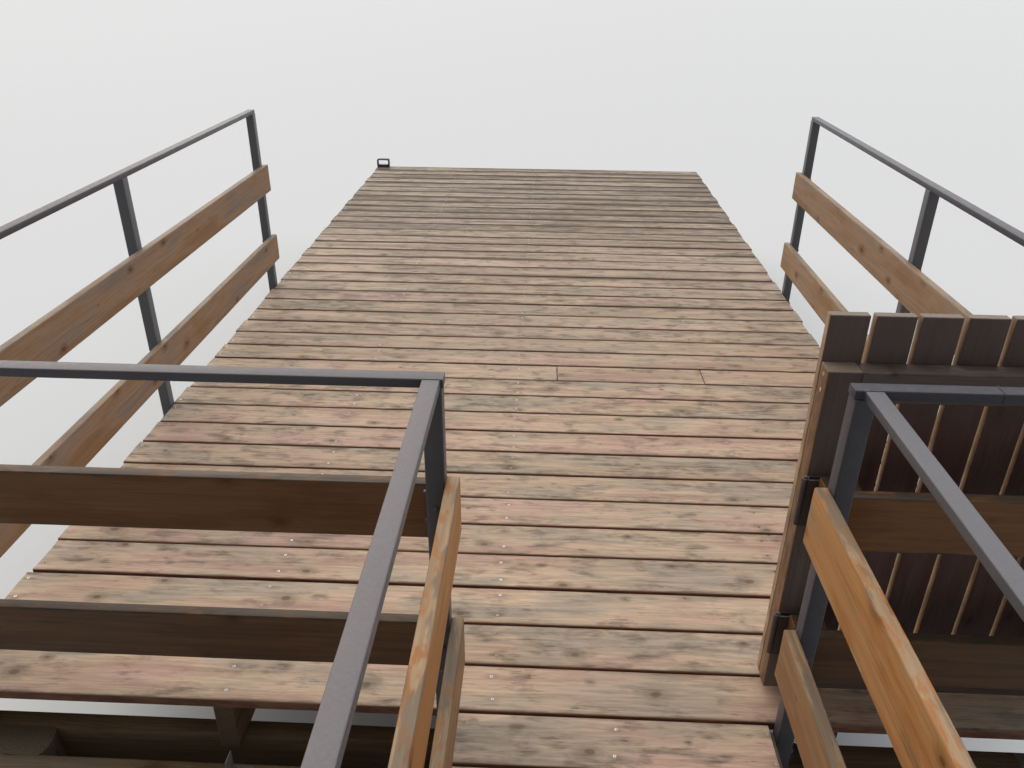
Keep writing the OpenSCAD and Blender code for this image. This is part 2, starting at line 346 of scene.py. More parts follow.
def timber_finish(
        name, early, late, stained, weathered, smudge, grey=0.5, smudged=0.5, flecked=0.5,
        streaks=0.4, rings=0.5, ring_gap=0.006, knots=0.5, knot_grid=(2.4, 8.5),
        halo_tint=None, checks=0.5, half_width=0.07, edge_wear_and_shade=None, edge_band_depth=0.006,
        flaked_and_shaded=None, edge_stain_and_light=None, edge_axis=Y, end_grain=None, end_axis=X,
        roughness=(0.55, 0.85), relief=0.0008, fibres=1.0, stretch=1.0, joist_lines=None,
        screw_aside=0.0, dirt_and_shade_from=None, shade_and_weather_band=None, shade_and_weather_tone=0.42):
    """Sawn softwood, from the grain coordinates of each timber: year rings, fibres, stain left
    in patches and silver weathering where it is gone, smudges, flecks, knots, short drying
    checks, worn edges and darker end grain, and painted shade and light where a finish asks
    for it: dark bands along the deck gaps, dark upper edges on the back boards and gate
    rails, darker lower rail boards, and pale lit sides on the gate slats."""
    f = Finish(name)
    grain, tone = f.stored("grain"), f.stored("tone")
    across = f.split(grain)[1]
    tone_x, tone_y, tone_z = f.split(tone)
    mottle = f.noise(grain, (13, 44, 44), detail=3, roughness=0.6, distortion=0.2)
    core, halo = knots_in(f, grain, mottle, knots, knot_grid)
    latewood = year_rings(f, grain, tone, halo, ring_gap)

    # Stain left in patches, fibres and hand-wide streaks
    patch = f.noise(grain, (2.0, 9, 9), detail=4, roughness=0.62)
    lean = f.vary(patch, tone_y, 0.11)
    fine = f.noise(grain, (9 / stretch, 420, 420), detail=2, roughness=0.6)
    coarse = f.noise(grain, (3.5 / stretch, 100, 100), detail=3, roughness=0.6)
    streak = f.noise(grain, (1.2, 24, 24), detail=3, roughness=0.65)
    colour = f.mix(f.fade(f.times_plus(tone_z, -0.07, lean), 0.48, 0.34), early, stained)
    colour = f.mix(f.times(latewood, rings), colour, late)
    colour = f.mix(f.fade(streak, 0.45, 0.75, 0.0, streaks), colour, late)
    colour = f.shade(colour, f.times_plus(tone_z, 0.16, 0.92))
    colour = f.shade(colour, f.fade(streak, 0.25, 0.6, 1 + 0.25 * streaks, 1 - 0.12 * streaks))
    colour = f.shade(colour, f.fade(coarse, 0.25, 0.75, 1 - 0.12 * fibres, 1 + 0.10 * fibres))
    colour = f.shade(colour, f.fade(fine, 0.3, 0.7, 1 - 0.07 * fibres, 1 + 0.05 * fibres))

    # Silver weathering
    silver = f.fade(lean, 0.66 - 0.3 * grey, 0.84 - 0.3 * grey)
    fibre_tone = f.fade(coarse, 0.25, 0.75, 1 - 0.2 * fibres, 1 + 0.12 * fibres)
    colour = f.mix(f.times(silver, 0.8), colour, f.shade(weathered, fibre_tone))

    # Smudges of dirt and algae, some of them round the knots, and dark flecks in the grain
    smear = f.noise(grain, (4.6 / stretch, 24, 24), detail=4, roughness=0.58, distortion=0.3)
    foul = f.times_plus(halo, 0.14, f.vary(smear, tone_x, 0.10))
    if dirt_and_shade_from:
        distance = f.split(f.places())[Y]
        far_dirt_and_shade = f.fade(distance, *dirt_and_shade_from)
        grime = f.shade(weathered, f.fade(streak, 0.36, 0.60, 0.95, 0.34))
        colour = f.mix(f.times(far_dirt_and_shade, 0.7), colour, grime)
        foul = f.times_plus(far_dirt_and_shade, 0.05, foul)
        # Trodden dirt lies in wide zones, from board to board, and most of it by the gate
        ground = f.noise(f.places(), (1.7, 1.9, 1.0), detail=4, roughness=0.6)
        ground = f.fade(f.times_plus(lean, 0.5, f.times(ground, 0.5)), 0.47, 0.62)
        trodden = f.times(ground, f.fade(distance, 0.3, -1.2, 0.42, 0.66))
        colour = f.mix(trodden, colour, f.shade(weathered, f.fade(coarse, 0.25, 0.75, 0.5, 0.85)))
        colour = f.shade(colour, f.times_plus(f.times(far_dirt_and_shade, tone_x), -0.28, 1.03))
    foul = f.plus(f.times(foul, 0.72), f.times(mottle, 0.28))
    smeared = f.fade(foul, 0.62 - 0.14 * smudged, 0.84 - 0.19 * smudged)
    smeared = f.times(smeared, f.fade(coarse, 0.25, 0.6, 1.0, 0.45))
    colour = f.mix(f.times(smeared, 0.8), colour, smudge)
    fleck = f.noise(grain, (18, 240, 240), detail=3, roughness=0.6)
    fleck = f.plus(f.times(fleck, 0.7), f.times(smear, 0.3))
    flecks = f.fade(fleck, 0.66 - 0.12 * flecked, 0.72 - 0.10 * flecked)
    colour = f.mix(f.times(flecks, 0.45), colour, smudge)

    colour = f.mix(f.times(halo, 0.5), colour, halo_tint or late)
    knot_black = (0.012, 0.008, 0.006, 1)
    colour = f.mix(f.times(core, 0.8), colour, f.mix(0.45, late, knot_black))
    if joist_lines:
        marks = tannin_marks(f, across, joist_lines, screw_aside)
        colour = f.mix(f.times(marks, 0.4), colour, smudge)

    if edge_wear_and_shade:
        rough_edge = f.vary(f.absolute(across), mottle, 0.022)
        share = 0.95 if flaked_and_shaded else 0.7
        if dirt_and_shade_from:
            # The dark band of dirt and painted shade along the gaps is wider on some boards, and
            # comes and goes along them
            broken = f.times(f.times_plus(tone_z, 0.8, 0.6), f.fade(streak, 0.34, 0.62, 0.15, 1.5))
            rough_edge = f.times_plus(f.times(far_dirt_and_shade, broken), 0.022, rough_edge)
            edge_wear_and_shade = f.shade(edge_wear_and_shade, f.times_plus(far_dirt_and_shade, -0.4, 1.0))
            share = f.times_plus(far_dirt_and_shade, 0.12, share)
        edge_band = f.fade(rough_edge, half_width - edge_band_depth, half_width)
        edge_colour = f.shade(edge_wear_and_shade, f.fade(coarse, 0.25, 0.75, 0.75, 1.1))
        if flaked_and_shaded:
            # The stain flakes off in blotches, down to pale wood and then to grey; on the back
            # boards the flake colour is dark, painted shade
            edge_colour = f.mix(f.fade(mottle, 0.40, 0.52), flaked_and_shaded, edge_colour)
            edge_colour = f.mix(f.fade(smear, 0.50, 0.58, 0.0, 0.8), edge_colour, f.shade(weathered, 0.75))
        colour = f.mix(f.times(edge_band, share), colour, edge_colour)

    if shade_and_weather_band:
        # Painted shade darkens the lower board of a railing, and the weather dulls the slats' tops
        height_up = f.split(f.places())[Z]
        shade_and_weather = f.times(f.fade(height_up, *shade_and_weather_band), f.fade(coarse, 0.2, 0.8, 0.65, 0.35))
        colour = f.mix(shade_and_weather, colour, f.shade(weathered, shade_and_weather_tone))

    # Drying checks: thin short lines that follow the fibres
    line = f.noise(grain, (1.6, 40, 40), detail=1.0, roughness=0.4)
    check = f.times(f.fade(f.absolute(f.minus(line, 0.5)), 0.012, 0.003),
                    f.fade(smear, 0.74 - 0.2 * checks, 0.80 - 0.2 * checks))
    check_black = (0.016, 0.012, 0.010, 1)
    colour = f.mix(f.times(check, 0.8), colour, check_black)

    if edge_stain_and_light:
        # The old stain stays on the edges, out of the weather and the feet; on the gate slats the
        # pale edge colour is painted light on their lit sides
        on_edge = f.fade(f.absolute(f.facing(edge_axis)), 0.55, 0.9)
        colour = f.mix(on_edge, colour, f.shade(edge_stain_and_light, f.fade(mottle, 0.3, 0.7, 0.6, 1.2)))
    if end_grain:
        cut_wood = f.mix(f.times(latewood, 0.6), end_grain, f.shade(end_grain, 0.45))
        cut_wood = f.shade(cut_wood, f.fade(fine, 0.3, 0.7, 0.75, 1.1))
        colour = f.mix(f.fade(f.absolute(f.facing(end_axis)), 0.6, 0.9), colour, cut_wood)

    height = f.times_plus(coarse, 0.5, f.times(fine, 0.28))
    f.surface(base_color=colour, roughness=f.fade(f.plus(silver, coarse), 0.2, 1.4, *roughness),
              specular_ior_level=0.12, normal=f.bump(height, relief))
    return f.material


def fit(piece, finish, body, slot, *nodes, degrees=35):
    """Smooths and paints the piece, and says which body carries it and which CAD nodes it
    stands for."""
    activate(piece)
    bpy.ops.object.shade_smooth_by_angle(angle=math.radians(degrees))
    piece.data.materials.clear()
    piece.data.materials.append(finish)
    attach(piece, body)
    if nodes:
        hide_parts(*nodes)


pile_radius = 0.090
pile_height = 0.524
notch_under = 0.326
tenon_half = 0.042
notch_reach = 0.2
notch_top = 0.7
pile_sides = 40
pile_slice = 0.02
pole = rod("pole", (0, 0, 0), pile_radius, pile_height, pile_sides)
slice_at(pole, Z, [0.004 + i * pile_slice for i in range(int(pile_height / pile_slice))])
for v in pole.data.vertices:
    slow = noise.noise(Vector((v.co.x * 9, v.co.y * 9, v.co.z * 2.5)))
    flute = max(0.0, noise.noise(Vector((v.co.x * 40, v.co.y * 40, v.co.z * 1.2))) - 0.3)
    swell = 1 - 0.02 * v.co.z / pile_height + 0.025 * slow - 0.05 * flute
    v.co.x *= swell
    v.co.y *= swell
for side in (-1, 1):
    cutter = box("cutter", (-notch_reach, side * tenon_half, notch_under),
                 (notch_reach, side * notch_reach, notch_top))
    use_modifier(pole, "BOOLEAN", operation="DIFFERENCE", object=cutter, solver="EXACT")
    bpy.data.objects.remove(cutter)
round_edges(pole, lambda e: len(e.link_faces) == 2 and e.calc_face_angle(0) > 1.2, 0.003, 2)

pile_finish = timber_finish(
    "pile_wood", early=tint("7d6650"), late=tint("4d3c2f"), stained=tint("6a5846"),
    weathered=tint("8a8274"), smudge=tint("35312a"), grey=0.7, smudged=0.6, rings=0.3,
    knots=0.35, checks=1.2, end_grain=tint("94846e"), end_axis=Z, relief=0.002)


def set_piles(name, columns, y):
    """A row of poles across the jetty, each turned and toned its own way."""
    piles = []
    for x in columns:
        pile = copy_to(pole, (0, 0, 0), "pile")
        pile.data.transform(Matrix.Rotation(chance.choice((0, math.pi)), 4, "Z"))
        grain = points_of(pile)[:, [Z, X, Y]]
        grain[:, 0] += chance.uniform(-40, 40)
        write_vectors(pile, "grain", grain)
        tone = [0.5, chance.random(), chance.random()]
        write_vectors(pile, "tone", np.tile(tone, (len(grain), 1)))
        pile.data.transform(Matrix.Translation((x, y, 0)))
        piles.append(pile)
    return join(name, piles)


platform_columns = (-1.25, 0, 1.25)
platform_rows = [-1.5, 0.4, 2.3, 4.2]
for number, y in enumerate(platform_rows, 1):
    fit(set_piles(f"poles_{number}", platform_columns, y), pile_finish, "jetty",
        "pile_timber", f"platform_piles_{number}")
walkway_rows = [-4.3, -2.9]
low, high = corners("walkway_piles")
walkway_columns = (low.x + pile_radius, high.x - pile_radius)
fit(join("walkway_poles", [set_piles("poles", walkway_columns, y) for y in walkway_rows]),
    pile_finish, "jetty", "pile_timber", "walkway_piles")
bpy.data.objects.remove(pole)

# Frame under the deck. Sawn softwood: twin bearers let into the pile heads and bolted
# through them, and joists on edge across the bearers.


def along_axis(edge, axis):
    """True for an edge that runs along the axis."""
    a, b = (v.co for v in edge.verts)
    return abs((b - a).normalized()[axis]) > 0.99


def lay_grain(piece, along, across):
    """Gives a timber its own grain: each point's place along, across and through the
    timber goes into "grain", and three random numbers for the whole timber into "tone"."""
    places = points_of(piece)
    middle = (places.min(0) + places.max(0)) / 2
    local = (places - middle)[:, [along, across, 3 - along - across]]
    local[:, 0] += chance.uniform(-40, 40)
    write_vectors(piece, "grain", local)
    tone = [chance.random() for _ in range(3)]
    write_vectors(piece, "tone", np.tile(tone, (len(places), 1)))


def timber(name, low, high, along, across, rounding=0.002, step=0.15, widths=(),
           ends=(0.012, 0.05)):
    """Sawn timber between two corners: long edges rounded, then every edge eased, and cut
    into short lengths so that it can warp."""
    piece = box(name, low, high)
    round_edges(piece, lambda e: along_axis(e, along), rounding, 2)
    round_edges(piece, lambda e: True, min(rounding, 0.0015))
    length = high[along] - low[along]
    count = max(1, round(length / step))
    places = [low[along] + length * i / count for i in range(1, count)]
    places += [low[along] + e for e in ends] + [high[along] - e for e in ends]
    slice_at(piece, along, places)
    middle = (low[across] + high[across]) / 2
    slice_at(piece, across, [middle + w for w in widths])
    return piece


def warp(piece, along, across, cup=0.0, twist=0.0, sway=0.001, fray=0.0):
    """Bends a timber as years in the weather do, by its own random amounts."""
    places = points_of(piece)
    low, high = places.min(0), places.max(0)
    middle, half = (low + high) / 2, (high - low) / 2
    through = 3 - along - across
    seed = chance.uniform(0, 90)
    for v in piece.data.vertices:
        run = (v.co[along] - middle[along]) / half[along]
        width = (v.co[across] - middle[across]) / half[across]
        slow = noise.noise(Vector((v.co[along] * 0.9, seed, 3.1)))
        local = noise.noise(Vector((v.co[along] * 3.1, width * 0.8 + seed, 7.7)))
        v.co[through] += cup * (width * width - 0.4) + twist * run * width
        v.co[through] += sway * (slow + 0.5 * local)
        v.co[across] += sway * 0.8 * noise.noise(Vector((v.co[along] * 1.3, 5.5, seed)))
        if fray and abs(run) > 0.999 - 0.002 / half[along]:
            v.co[along] += fray * noise.noise(Vector((width * 4, seed, v.co[through] * 30)))


frame_look = dict(
    early=tint("9d8466"), late=tint("6b543e"), stained=tint("88735a"), weathered=tint("8f8679"),
    smudge=tint("463d32"), grey=0.6, smudged=0.55, rings=0.4, knots=0.4, checks=0.7,
    end_grain=tint("75634f"), relief=0.0012)
frame_finish_x = timber_finish("frame_wood_x", end_axis=X, **frame_look)
frame_finish_y = timber_finish("frame_wood_y", end_axis=Y, **frame_look)

platform_half = 1.44
bearer_far = 0.090
bearer_z = (notch_under, pile_height)
joist_z = (pile_height, 0.672)


def bearers(name, node, x0, x1, rows):
    """Twin bearers on each side of the tenons of one row of piles or more."""
    pairs = []
    for y in rows:
        for near, far in ((-bearer_far, -tenon_half), (tenon_half, bearer_far)):
            bearer = timber("bearer", (x0, y + near, bearer_z[0]), (x1, y + far, bearer_z[1]), X, Z)
            warp(bearer, X, Z, cup=0.0006, sway=0.0008)
            lay_grain(bearer, X, Z)
            pairs.append(bearer)
    fit(join(name, pairs), frame_finish_x, "jetty", "frame_timber", node)


for number, y in enumerate(platform_rows, 1):
    bearers(f"twin_bearers_{number}", f"platform_bearers_{number}",
            -platform_half, platform_half, [y])
walk_left, walk_right = (corner.x for corner in corners("walkway_bearers"))
bearers("walkway_twin_bearers", "walkway_bearers", walk_left, walk_right, walkway_rows)

joist_half = 0.024
edge_joist_x = (-1.416, 1.416)
inner_joist_x = (-0.69, -0.015, 0.16, 0.81)
walkway_joist_x = (walk_left + joist_half, (walk_left + walk_right) / 2, walk_right - joist_half)
platform_run = (-1.497, 4.497)
walkway_run = (-4.497, -1.503)
for name, node, columns, (y0, y1) in (
        ("side_joists", "edge_joists", edge_joist_x, platform_run),
        ("middle_joists", "inner_joists", inner_joist_x, platform_run),
        ("walkway_run_joists", "walkway_joists", walkway_joist_x, walkway_run)):
    joists = []
    for x in columns:
        joist = timber("joist", (x - joist_half, y0, joist_z[0]), (x + joist_half, y1, joist_z[1]),
                       Y, Z)
        warp(joist, Y, Z, cup=0.0005, sway=0.0008)
        lay_grain(joist, Y, Z)
        joists.append(joist)
    fit(join(name, joists), frame_finish_y, "jetty", "frame_timber", node)


def lies_at(edge, axis, place):
    """True for an edge in the plane that crosses the axis at that place."""
    return all(abs(v.co[axis] - place) < 1e-5 for v in edge.verts)


def mark_edges(piece):
    """Writes 1 on the middle of every rounded edge and 0 elsewhere, where paint wears off."""
    normals = np.empty(len(piece.data.vertices) * 3, np.float32)
    piece.data.vertices.foreach_get("normal", normals)
    level = (np.abs(normals.reshape(-1, 3)).max(1) < 0.86).astype(np.float32)
    layer = piece.data.attributes.new("edge", "FLOAT", "POINT")
    layer.data.foreach_set("value", level)


def steel_finish(name, paint, dust_and_sheen, rust=0.1):
    """Painted steel: dull and dusty on top, with a painted sky sheen there too, rubbed to rust
    along its edges and in specks.
    """
    f = Finish(name)
    places = f.places()
    edge = f.stored("edge", "Fac")
    cloud = f.noise(places, (7, 7, 7), detail=5, roughness=0.65)
    speckle = f.noise(places, (260, 260, 260), detail=3, roughness=0.7)
    film = f.noise(places, (60, 60, 60), detail=4, roughness=0.7)
    colour = f.mix(f.fade(cloud, 0.3, 0.7, 0.0, 0.3), paint, f.mix(0.5, paint, dust_and_sheen))
    colour = f.shade(colour, f.fade(speckle, 0.35, 0.65, 0.93, 1.06))
    # Top faces lighter: dust, and a painted sheen of the sky
    top_dust_and_sheen = f.times(f.fade(f.facing(Z), 0.35, 0.95), f.fade(film, 0.2, 0.65, 0.7, 1.0))
    colour = f.mix(top_dust_and_sheen, colour, f.shade(dust_and_sheen, f.fade(speckle, 0.35, 0.65, 0.93, 1.05)))
    spots = f.fade(f.plus(f.times(speckle, 0.5), f.times(cloud, 0.6)),
                   0.82 - 0.16 * rust, 0.90 - 0.16 * rust)
    chips = f.times(f.fade(edge, 0.35, 0.85),
                    f.fade(film, 0.70 - 0.25 * rust, 0.80 - 0.25 * rust))
    bare = f.math("MAXIMUM", spots, chips)
    rusty = f.mix(f.fade(film, 0.3, 0.7), tint("4d352a"), tint("76503c"))
    colour = f.mix(f.times(bare, 0.8), colour, rusty)
    height = f.minus(f.times(film, 0.4), f.times(bare, 0.5))
    height = f.times_plus(speckle, 0.12, height)
    dull = f.math("MAXIMUM", bare, f.times(top_dust_and_sheen, 0.5))
    rough = f.times_plus(dull, 0.3, f.fade(film, 0.2, 0.8, 0.32, 0.52))
    f.surface(base_color=colour, roughness=rough, specular_ior_level=0.35,
              normal=f.bump(height, 0.0004))
    return f.material


washer_t = 0.0025


def hex_bolt(name, width, height, washer, axis=Z, face=1, at=(0, 0, 0), stub=0.0, sides=20):
    """Hexagon head on a washer, standing on the plane through the point. With a stub it is
    a nut with the bolt's end standing out."""
    under, top = washer_t * face, (washer_t + height) * face
    head_radius = width / 2 / math.cos(math.pi / 6)
    head = rod(name, out_by(axis, under), head_radius, height * face, 6, axis)
    round_edges(head, lambda e: lies_at(e, axis, top), height * 0.16, 2)
    disc = rod("washer", (0, 0, 0), washer / 2, under, sides, axis)
    round_edges(disc, lambda e: lies_at(e, axis, under), 0.0007)
    parts = [head, disc]
    if stub:
        end = rod("end", out_by(axis, top), width * 0.3, stub * face, 10, axis)
        round_edges(end, lambda e: lies_at(e, axis, top + stub * face), 0.001)
        parts.append(end)
    bolt = join(name, parts)
    bolt.data.transform(Matrix.Translation(at))
    return bolt


bolt_finish = steel_finish("bolt_zinc", tint("8b8c8c"), tint("98928a"), rust=0.75)
pile_bolt = dict(width=0.024, washer=0.050, axis=Y, sides=16)
bolt_head = hex_bolt("bolt_head", height=0.010, face=-1, **pile_bolt)
bolt_nut = hex_bolt("bolt_nut", height=0.013, face=1, stub=0.010, **pile_bolt)
bolt_places = ((-0.022, 0.375), (0.022, 0.475))
bolts = []
for columns, rows in ((platform_columns, platform_rows), (walkway_columns, walkway_rows)):
    for y in rows:
        for x in columns:
            for aside, z in bolt_places:
                bolts.append(copy_to(bolt_head, (x + aside, y - bearer_far, z), "bolt"))
                bolts.append(copy_to(bolt_nut, (x + aside, y + bearer_far, z), "bolt"))
piece = join("pile_bolts", bolts)
mark_edges(piece)
fit(piece, bolt_finish, "jetty", "railing_steel")
bpy.data.objects.remove(bolt_head)
bpy.data.objects.remove(bolt_nut)

# Angle brackets. Bent zinc-plated plates that hold every joist on the bearers, nailed
# both ways.

bracket_leg = 0.055
bracket_half = 0.019
bracket_t = 0.0025
bracket_aside = 0.066
nail_radius = 0.0035
nail_high = 0.0012


def ease_sharp(piece, width, segments):
    """Rounds all the sharp edges of a steel plate."""
    use_modifier(piece, "BEVEL", width=width, segments=segments, limit_method="ANGLE",
                 angle_limit=math.radians(40))


bracket = box("bracket", (0, -bracket_half, 0), (bracket_leg, bracket_half, bracket_t))
slice_at(bracket, X, [bracket_t])
pick(bracket, "faces", lambda f: f.normal.z > 0.9 and f.calc_center_median().x < bracket_t)
bpy.ops.mesh.extrude_region_move(TRANSFORM_OT_translate={"value": (0, 0, bracket_leg - bracket_t)})
leave()
ease_sharp(bracket, 0.0007, 1)
bracket_parts = [bracket]
for along, aside in ((0.028, -0.010), (0.044, 0.010)):
    for axis, foot in ((Z, (along, aside, bracket_t)), (X, (bracket_t, aside, along))):
        nail = rod("nail", foot, nail_radius, nail_high, 8, axis)
        round_edges(nail, lambda e: lies_at(e, axis, bracket_t + nail_high), nail_high / 2)
        bracket_parts.append(nail)
bracket = join("bracket", bracket_parts)
brackets = []
for columns, rows in ((edge_joist_x + inner_joist_x, platform_rows),
                      (walkway_joist_x, walkway_rows)):
    for y in rows:
        for count, x in enumerate(columns):
            inward = 1 if x < sum(columns) / len(columns) else -1
            aside = bracket_aside if count % 2 else -bracket_aside
            turned = copy_to(bracket, (0, 0, 0), "bracket")
            if inward < 0:
                turned.data.transform(Matrix.Rotation(math.pi, 4, "Z"))
            turned.data.transform(
                Matrix.Translation((x + inward * joist_half, y + aside, bearer_z[1])))
            brackets.append(turned)
piece = join("joist_brackets", brackets)
mark_edges(piece)
fit(piece, bolt_finish, "jetty", "railing_steel")
bpy.data.objects.remove(bracket)

# Deck boards. Pine, once stained reddish and now walked grey and pale, laid across the
# joists with open gaps and screwed down twice over each joist. Cupped, chafed and frayed.

deck_top = 0.700
deck_under = joist_z[1]
board_half_t = (deck_top - deck_under) / 2
board_width = 0.144
board_lines = (-0.062, -0.031, 0, 0.031, 0.062)
row_pitch = 0.150
row_gap = row_pitch - board_width
step_y = -1.5
end_wander = 0.010
screw_aside = 0.039
splices_x = (0.160, 0.810)
splice_gap = 0.003
spliced_row = 12
platform_row_count = 40
platform_rows_a_piece = 8
walkway_row_count = 20
walkway_rows_a_piece = 10
block_clear_x = -1.325
screw_joist_x = sorted(x for x in edge_joist_x + inner_joist_x if x != splices_x[0])
# The dark edge colour of the deck boards stands for dirt and for painted shade along the gaps
deck_look = dict(
    late=tint("917763"), weathered=tint("bbae9e"), smudge=tint("5c5149"), grey=0.55, smudged=1.0,
    flecked=0.7, rings=0.25, knots=0.75, halo_tint=tint("857866"), checks=0.4,
    half_width=board_width / 2, edge_wear_and_shade=tint("75624f"), edge_band_depth=0.010,
    edge_stain_and_light=tint("8d6653"), end_grain=tint("8b7d6e"), end_axis=X, roughness=(0.5, 0.8),
    relief=0.0009, fibres=1.1, stretch=0.42, screw_aside=screw_aside)
deck_finish = timber_finish(
    "deck_wood", early=tint("ceb49b"), stained=tint("c4a494"), joist_lines=screw_joist_x,
    dirt_and_shade_from=(-0.3, 4.0), **deck_look)
walkway_finish = timber_finish(
    "walkway_wood", early=tint("d3b9a0"), stained=tint("c9a999"), joist_lines=walkway_joist_x,
    dirt_and_shade_from=(0.5, 4.0), **deck_look)


def stand_back(row, side):
    """How far a board's end stands back from the edge."""
    return end_wander * (1 + math.sin(math.radians(row * 137 + side * 71))) / 2


def board_pattern(length):
    """A board of that length, flat and straight, for the rows to copy."""
    high = Vector((length / 2, board_width / 2, board_half_t))
    return timber("pattern", -high, high, X, Y, rounding=0.004, step=0.13, widths=board_lines)


def lay_board(pattern, x0, x1, y0):
    """Copies the pattern board between x0 and x1, a little crooked and more or less shrunk,
    with its own warp."""
    board = copy_to(pattern, (0, 0, 0), "board")
    length = max(v.co.x for v in pattern.data.vertices) * 2
    slack = chance.uniform(-0.0015, 0.0015)
    middle = ((x0 + x1) / 2, y0 + board_width / 2 + slack, (deck_top + deck_under) / 2)
    board.data.transform(
        Matrix.Translation(middle) @ Matrix.Rotation(chance.uniform(-0.0006, 0.0006), 4, "Z")
        @ Matrix.Diagonal(((x1 - x0) / length, chance.uniform(0.985, 1.008), 1, 1)))
    warp(board, X, Y, cup=chance.uniform(-0.0012, 0.0022), twist=chance.uniform(-0.0008, 0.0008),
         sway=0.0012, fray=0.0022)
    lay_grain(board, X, Y)
    return board


long_board = board_pattern(2 * platform_half)
for number in range(1, platform_row_count // platform_rows_a_piece + 1):
    boards = []
    for row in range((number - 1) * platform_rows_a_piece, number * platform_rows_a_piece):
        y0 = step_y + row * row_pitch + row_gap / 2
        x0, x1 = -platform_half + stand_back(row, 0), platform_half - stand_back(row, 1)
        if row == platform_row_count - 1:
            x0 = block_clear_x
        if row != spliced_row:
            boards.append(lay_board(long_board, x0, x1, y0))
            continue
        ends = [x + side * splice_gap / 2 for x in splices_x for side in (-1, 1)]
        for a, b in zip([x0] + ends[1::2], ends[::2] + [x1]):
            short_board = board_pattern(b - a)
            boards.append(lay_board(short_board, a, b, y0))
            bpy.data.objects.remove(short_board)
    fit(join(f"platform_planks_{number}", boards), deck_finish, "jetty", "deck_timber",
        f"deck_boards_{number}", degrees=30)

walkway_board_l = 0.762
walkway_board = board_pattern(walkway_board_l)
for number in range(1, walkway_row_count // walkway_rows_a_piece + 1):
    boards = [
        lay_board(walkway_board, walk_left + stand_back(row, 2) / 2,
                  walk_left + walkway_board_l - stand_back(row, 3) / 2,
                  step_y - (row + 1) * row_pitch + row_gap / 2)
        for row in range((number - 1) * walkway_rows_a_piece, number * walkway_rows_a_piece)]
    fit(join(f"walkway_planks_{number}", boards), walkway_finish, "jetty", "deck_timber",
        f"walkway_boards_{number}", degrees=30)
bpy.data.objects.remove(long_board)
bpy.data.objects.remove(walkway_board)

# Deck screws. Zinc-plated countersunk heads with a star recess, drawn just below the
# wood, some bright and some rusty.

screw_radius = 0.0046
screw_depth = 0.003
screw = rod("screw", (0, 0, -screw_depth), screw_radius, screw_depth, 12)
pick(screw, "faces", lambda f: f.normal.z > 0.9)
for inset, rise in ((0.0008, 0.0005), (0.0018, 0), (0.0001, -0.0016)):
    bpy.ops.mesh.inset(thickness=inset, depth=rise)
leave()


def screw_metal():
    """Zinc that has dulled, and rusts on some screws and in specks."""
    f = Finish("screw_zinc")
    spread = f.noise(f.places(), (3.1, 2.7, 3.0), detail=3)
    speck = f.noise(f.places(), (900, 900, 900), detail=2)
    dull = f.fade(f.split(f.places())[X], 0.1, 0.8, 0.0, 0.12)
    rust = f.fade(f.times_plus(speck, 0.4, f.times_plus(spread, 0.7, dull)), 0.5, 0.72)
    f.surface(base_color=f.mix(rust, tint("dcd8d0"), tint("7c543c")),
              roughness=f.fade(rust, 0, 1, 0.35, 0.8), metallic=f.fade(rust, 0.2, 0.9, 0.3, 0.0),
              normal=f.bump(speck, 0.0002))
    return f.material


screw_finish = screw_metal()


def drive_screws(name, columns, rows):
    """Pairs of screws through the deck boards, none quite in line."""
    heads = []
    for y in rows:
        for x in columns:
            for side in (-screw_aside, screw_aside):
                spot = (x + chance.uniform(-0.006, 0.006),
                        y + side + chance.uniform(-0.004, 0.004),
                        deck_top + chance.uniform(-0.0004, 0.0006))
                heads.append(copy_to(screw, spot, "head"))
    fit(join(name, heads), screw_finish, "jetty", "hinge_steel", degrees=40)


platform_middles = [step_y + row_pitch * (row + 0.5) for row in range(platform_row_count)]
walkway_middles = [step_y - row_pitch * (row + 0.5) for row in range(walkway_row_count)]
drive_screws("platform_screws", screw_joist_x[1:-1], platform_middles)
drive_screws("platform_edge_screws", edge_joist_x, platform_middles[:-1])
drive_screws("walkway_screws", walkway_joist_x, walkway_middles)

# Corner block and mooring loop. The block is a board end that fills the far left corner.
# The loop is a rectangle of flat steel bar, welded on a plate and held by two bolts.

block = timber("corner_filler", *corners("corner_block"), X, Y, rounding=0.004, step=0.05,
               widths=board_lines[::2], ends=(0.012,))
lay_grain(block, X, Y)
fit(block, deck_finish, "jetty", "deck_timber", "corner_block", degrees=30)
block_screws_y = 4.405
drive_screws("corner_screws", edge_joist_x[:1], [block_screws_y])

loop_finish = steel_finish("loop_steel", tint("39373a"), tint("6a6460"), rust=0.9)
loop_low, loop_high = corners("mooring_loop")
loop_middle = (loop_low + loop_high) / 2
loop_bar = 0.010
loop_bolt_aside = 0.030
plate_top = 0.712
plate = box("plate", loop_low, (loop_high.x, loop_high.y, plate_top))
round_edges(plate, lambda e: along_axis(e, Z), 0.006, 3)
round_edges(plate, lambda e: lies_at(e, Z, plate_top), 0.001, 2)
ring = box("ring", (loop_low.x, loop_low.y, plate_top - 0.001), loop_high)
round_edges(ring, lambda e: along_axis(e, Y) and lies_at(e, Z, loop_high.z), 0.014, 4)
pick(ring, "faces", lambda f: abs(f.normal.y) > 0.9)
bpy.ops.mesh.inset(thickness=loop_bar, depth=0)
bpy.ops.mesh.bridge_edge_loops()
leave()
round_edges(ring, lambda e: not along_axis(e, Y) and e.calc_face_angle(0) > 1.2, 0.001, 2)
loop_bolts = [
    hex_bolt("bolt", 0.013, 0.006, 0.018, at=(loop_middle.x + aside, loop_middle.y, plate_top))
    for aside in (-loop_bolt_aside, loop_bolt_aside)]
loop = join("mooring_staple", [plate, ring] + loop_bolts)
mark_edges(loop)
fit(loop, loop_finish, "jetty", "railing_steel", "mooring_loop")

